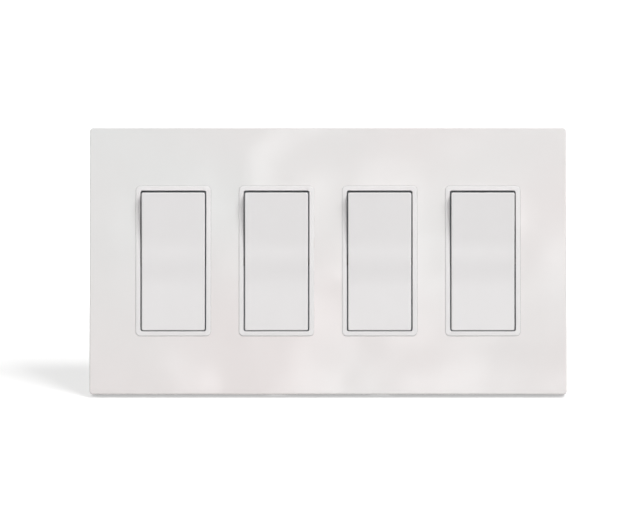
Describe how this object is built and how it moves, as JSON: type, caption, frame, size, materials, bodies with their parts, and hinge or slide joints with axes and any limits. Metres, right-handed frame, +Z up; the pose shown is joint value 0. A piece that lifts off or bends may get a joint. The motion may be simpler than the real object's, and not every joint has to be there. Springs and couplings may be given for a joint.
{
  "type": "rocker switch plate",
  "caption": "Wide white wall plate with a clip-on cover over a row of rocker switches, each a creased paddle in a slim proud bezel.",
  "frame": {"origin": "middle of the box-screw pattern, on the wall plane that the cover's back rim stands on", "axes": "+X to the right along the row of switches, +Y back into the wall, +Z up"},
  "size_m": [0.2128, 0.0384, 0.1192],
  "materials": {
    "cover_white": "gloss",
    "switch_white": "gloss",
    "adapter_white": "matte",
    "housing_plastic": "matte",
    "plunger_nylon": "matte",
    "strap_steel": "zinc plated",
    "screw_steel": "zinc plated",
    "spring_steel": "satin",
    "terminal_brass": "satin",
    "contact_silver": "satin"
  },
  "bodies": {
    "wall_side": {"cover_plate": "cover_white", "adapter_plate": "adapter_white", "box_screws": "screw_steel", "bezel_1": "switch_white", "strap_1": "strap_steel", "housing_1": "housing_plastic", "line_terminal_1": "terminal_brass", "load_terminal_1": "terminal_brass", "fixed_contact_1": "contact_silver", "bezel_2": "switch_white", "strap_2": "strap_steel", "housing_2": "housing_plastic", "line_terminal_2": "terminal_brass", "load_terminal_2": "terminal_brass", "fixed_contact_2": "contact_silver", "bezel_3": "switch_white", "strap_3": "strap_steel", "housing_3": "housing_plastic", "line_terminal_3": "terminal_brass", "load_terminal_3": "terminal_brass", "fixed_contact_3": "contact_silver", "bezel_4": "switch_white", "strap_4": "strap_steel", "housing_4": "housing_plastic", "line_terminal_4": "terminal_brass", "load_terminal_4": "terminal_brass", "fixed_contact_4": "contact_silver"},
    "rocker_body_1": {"rocker_1": "switch_white", "spring_1": "spring_steel"},
    "plunger_body_1": {"plunger_1": "plunger_nylon"},
    "arm_body_1": {"contact_arm_1": "terminal_brass", "arm_contact_1": "contact_silver"},
    "rocker_body_2": {"rocker_2": "switch_white", "spring_2": "spring_steel"},
    "plunger_body_2": {"plunger_2": "plunger_nylon"},
    "arm_body_2": {"contact_arm_2": "terminal_brass", "arm_contact_2": "contact_silver"},
    "rocker_body_3": {"rocker_3": "switch_white", "spring_3": "spring_steel"},
    "plunger_body_3": {"plunger_3": "plunger_nylon"},
    "arm_body_3": {"contact_arm_3": "terminal_brass", "arm_contact_3": "contact_silver"},
    "rocker_body_4": {"rocker_4": "switch_white", "spring_4": "spring_steel"},
    "plunger_body_4": {"plunger_4": "plunger_nylon"},
    "arm_body_4": {"contact_arm_4": "terminal_brass", "arm_contact_4": "contact_silver"}
  },
  "joints": [
    {"name": "rocker_hinge_1", "type": "hinge", "parent": "wall_side", "child": "rocker_body_1", "pos_m": [-0.06906, -0.004, 0], "axis": [-1, 0, 0], "range_deg": [0, 7.5]},
    {"name": "arm_hinge_1", "type": "hinge", "parent": "wall_side", "child": "arm_body_1", "pos_m": [-0.06906, 0.012, 0], "axis": [-1, 0, 0], "range_deg": [-15.2, 0.2]},
    {"name": "plunger_slide_1", "type": "slide", "parent": "rocker_body_1", "child": "plunger_body_1", "axis": [0, -0.9979, -0.0654], "range_m": [0, 0.0006], "stiffness_N_per_m": 400, "deforming": ["spring_1"]},
    {"name": "rocker_hinge_2", "type": "hinge", "parent": "wall_side", "child": "rocker_body_2", "pos_m": [-0.02302, -0.004, 0], "axis": [-1, 0, 0], "range_deg": [0, 7.5]},
    {"name": "arm_hinge_2", "type": "hinge", "parent": "wall_side", "child": "arm_body_2", "pos_m": [-0.02302, 0.012, 0], "axis": [-1, 0, 0], "range_deg": [-15.2, 0.2]},
    {"name": "plunger_slide_2", "type": "slide", "parent": "rocker_body_2", "child": "plunger_body_2", "axis": [0, -0.9979, -0.0654], "range_m": [0, 0.0006], "stiffness_N_per_m": 400, "deforming": ["spring_2"]},
    {"name": "rocker_hinge_3", "type": "hinge", "parent": "wall_side", "child": "rocker_body_3", "pos_m": [0.02302, -0.004, 0], "axis": [-1, 0, 0], "range_deg": [0, 7.5]},
    {"name": "arm_hinge_3", "type": "hinge", "parent": "wall_side", "child": "arm_body_3", "pos_m": [0.02302, 0.012, 0], "axis": [-1, 0, 0], "range_deg": [-15.2, 0.2]},
    {"name": "plunger_slide_3", "type": "slide", "parent": "rocker_body_3", "child": "plunger_body_3", "axis": [0, -0.9979, -0.0654], "range_m": [0, 0.0006], "stiffness_N_per_m": 400, "deforming": ["spring_3"]},
    {"name": "rocker_hinge_4", "type": "hinge", "parent": "wall_side", "child": "rocker_body_4", "pos_m": [0.06906, -0.004, 0], "axis": [-1, 0, 0], "range_deg": [0, 7.5]},
    {"name": "arm_hinge_4", "type": "hinge", "parent": "wall_side", "child": "arm_body_4", "pos_m": [0.06906, 0.012, 0], "axis": [-1, 0, 0], "range_deg": [-15.2, 0.2]},
    {"name": "plunger_slide_4", "type": "slide", "parent": "rocker_body_4", "child": "plunger_body_4", "axis": [0, -0.9979, -0.0654], "range_m": [0, 0.0006], "stiffness_N_per_m": 400, "deforming": ["spring_4"]}
  ],
  "couplings": [
    {"joint": "arm_hinge_1", "follows": "rocker_hinge_1", "ratio": -2},
    {"joint": "arm_hinge_2", "follows": "rocker_hinge_2", "ratio": -2},
    {"joint": "arm_hinge_3", "follows": "rocker_hinge_3", "ratio": -2},
    {"joint": "arm_hinge_4", "follows": "rocker_hinge_4", "ratio": -2}
  ]
}
